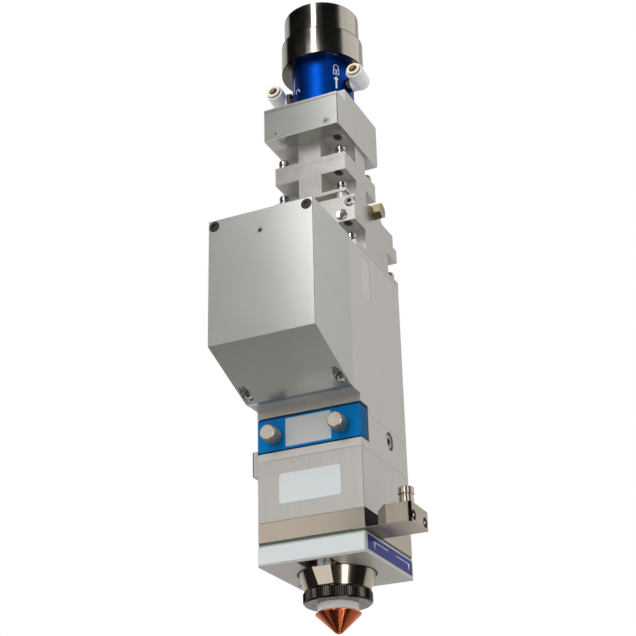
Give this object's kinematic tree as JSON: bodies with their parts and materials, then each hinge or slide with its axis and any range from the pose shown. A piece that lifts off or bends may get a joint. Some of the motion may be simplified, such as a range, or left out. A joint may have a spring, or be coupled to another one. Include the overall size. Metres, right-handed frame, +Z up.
{
  "type": "laser cutting head",
  "caption": "Stacked block cutting head with a fibre socket, motorised focus lens, window drawer, height sensor and copper nozzle, bolted by its back to a machine axis.",
  "frame": {"origin": "centre of the nozzle mouth, the tool centre point, on the beam axis", "axes": "+Z up the beam axis towards the fibre socket, +Y towards the mounting back, +X to the right seen from the front, on the side of the arm"},
  "size_m": [0.1028, 0.1381, 0.4451],
  "materials": {
    "satin_aluminium": "fine milled, clear anodised",
    "bright_steel": "turned and polished",
    "nickel": "nickel plated, satin",
    "blue_anodised": "blue anodised, satin",
    "drawer_blue": "mid blue anodised, satin",
    "copper": "turned and polished copper",
    "ceramic": "white fired ceramic",
    "white_plastic": "moulded",
    "cream_plastic": "moulded",
    "black_plastic": "moulded",
    "seal_rubber": "dark green sheet",
    "screw_steel": "bright plated",
    "yellow_zinc": "yellow passivated",
    "brass": "turned",
    "pale_label": "bare printed film",
    "blue_label": "bare printed film",
    "optic_glass": "polished, coated",
    "motor_black": "black paint"
  },
  "bodies": {
    "head": {"adapter_base": "satin_aluminium", "adapter_block": "satin_aluminium", "adjuster_block": "satin_aluminium", "adjuster_cover": "satin_aluminium", "adjuster_cover_screws": "screw_steel", "block_seal": "seal_rubber", "cable_socket": "screw_steel", "ceramic_holder": "ceramic", "clamp_screw": "screw_steel", "collimator_block": "satin_aluminium", "collimator_lens": "optic_glass", "contact_pin": "brass", "cover_front_screw": "screw_steel", "cover_plugs": "black_plastic", "cover_screws": "screw_steel", "drawer_housing": "satin_aluminium", "drive_cover": "satin_aluminium", "drive_frame": "satin_aluminium", "elbow_stems": "nickel", "fibre_collar": "blue_anodised", "flank_label": "blue_label", "flank_plate": "satin_aluminium", "flank_plug": "yellow_zinc", "focus_housing": "satin_aluminium", "focus_motor": "motor_black", "gas_fitting": "nickel", "guide_rods": "bright_steel", "left_cover_plate": "satin_aluminium", "left_plate_screws": "screw_steel", "lens_holder": "satin_aluminium", "middle_block": "satin_aluminium", "middle_label": "pale_label", "nickel_band": "nickel", "nozzle_block": "satin_aluminium", "pillar_screws": "screw_steel", "plug_sleeve": "bright_steel", "seat_ring": "satin_aluminium", "sensor_insert": "nickel", "side_arm": "nickel", "strip_label": "pale_label", "vent_screw": "screw_steel", "wall_plug": "screw_steel", "wall_screw": "screw_steel"},
    "drawer": {"window_drawer": "drawer_blue", "protective_window": "optic_glass", "window_ring": "bright_steel", "drawer_label": "pale_label"},
    "thumb_screw_left": {"thumb_screw_left": "bright_steel"},
    "thumb_screw_right": {"thumb_screw_right": "bright_steel"},
    "lock_ring": {"lock_ring": "bright_steel"},
    "ring_nut": {"ring_nut": "nickel"},
    "nozzle": {"nozzle": "copper"},
    "carriage": {"lens_carriage": "satin_aluminium", "focus_lens": "optic_glass", "lens_ring": "bright_steel"},
    "spindle": {"focus_spindle": "bright_steel"},
    "elbow_left": {"elbow_body_left": "white_plastic"},
    "elbow_right": {"elbow_body_right": "white_plastic"},
    "release_left": {"release_collar_left": "cream_plastic"},
    "release_right": {"release_collar_right": "cream_plastic"}
  },
  "joints": [
    {"name": "drawer_slide", "type": "slide", "parent": "head", "child": "drawer", "axis": [0, -1, 0], "range_m": [0, 0.045]},
    {"name": "thumb_screw_left_turn", "type": "hinge", "parent": "drawer", "child": "thumb_screw_left", "pos_m": [-0.0225, -0.037, 0.1163], "axis": [0, 1, 0], "continuous": true},
    {"name": "thumb_screw_right_turn", "type": "hinge", "parent": "drawer", "child": "thumb_screw_right", "pos_m": [0.0225, -0.037, 0.1163], "axis": [0, 1, 0], "continuous": true},
    {"name": "lock_ring_turn", "type": "hinge", "parent": "head", "child": "lock_ring", "pos_m": [0, 0, 0.3996], "axis": [0, 0, 1], "range_deg": [0, 45]},
    {"name": "ring_nut_turn", "type": "hinge", "parent": "head", "child": "ring_nut", "pos_m": [0, 0, 0.0173], "axis": [0, 0, 1], "continuous": true},
    {"name": "nozzle_turn", "type": "hinge", "parent": "head", "child": "nozzle", "pos_m": [0, 0, 0], "axis": [0, 0, 1], "continuous": true},
    {"name": "focus_slide", "type": "slide", "parent": "head", "child": "carriage", "axis": [0, 0, 1], "range_m": [-0.01, 0.01]},
    {"name": "spindle_turn", "type": "hinge", "parent": "head", "child": "spindle", "pos_m": [0, -0.068, 0.1477], "axis": [0, 0, 1], "range_deg": [-905, 905]},
    {"name": "elbow_left_swivel", "type": "hinge", "parent": "head", "child": "elbow_left", "pos_m": [-0.0308, -0.0042, 0.3827], "axis": [-1, 0, 0], "range_deg": [-20, 200]},
    {"name": "elbow_right_swivel", "type": "hinge", "parent": "head", "child": "elbow_right", "pos_m": [0.0308, -0.0042, 0.3827], "axis": [-1, 0, 0], "continuous": true},
    {"name": "release_left_push", "type": "slide", "parent": "elbow_left", "child": "release_left", "axis": [0, 0.9816, -0.1908], "range_m": [0, 0.001], "stiffness_N_per_m": 500, "springref_m": -0.0006},
    {"name": "release_right_push", "type": "slide", "parent": "elbow_right", "child": "release_right", "axis": [0, 0.9816, -0.1908], "range_m": [0, 0.001], "stiffness_N_per_m": 500, "springref_m": -0.0006}
  ],
  "couplings": [
    {"joint": "spindle_turn", "follows": "focus_slide", "rad_per_m": 1570.8}
  ]
}
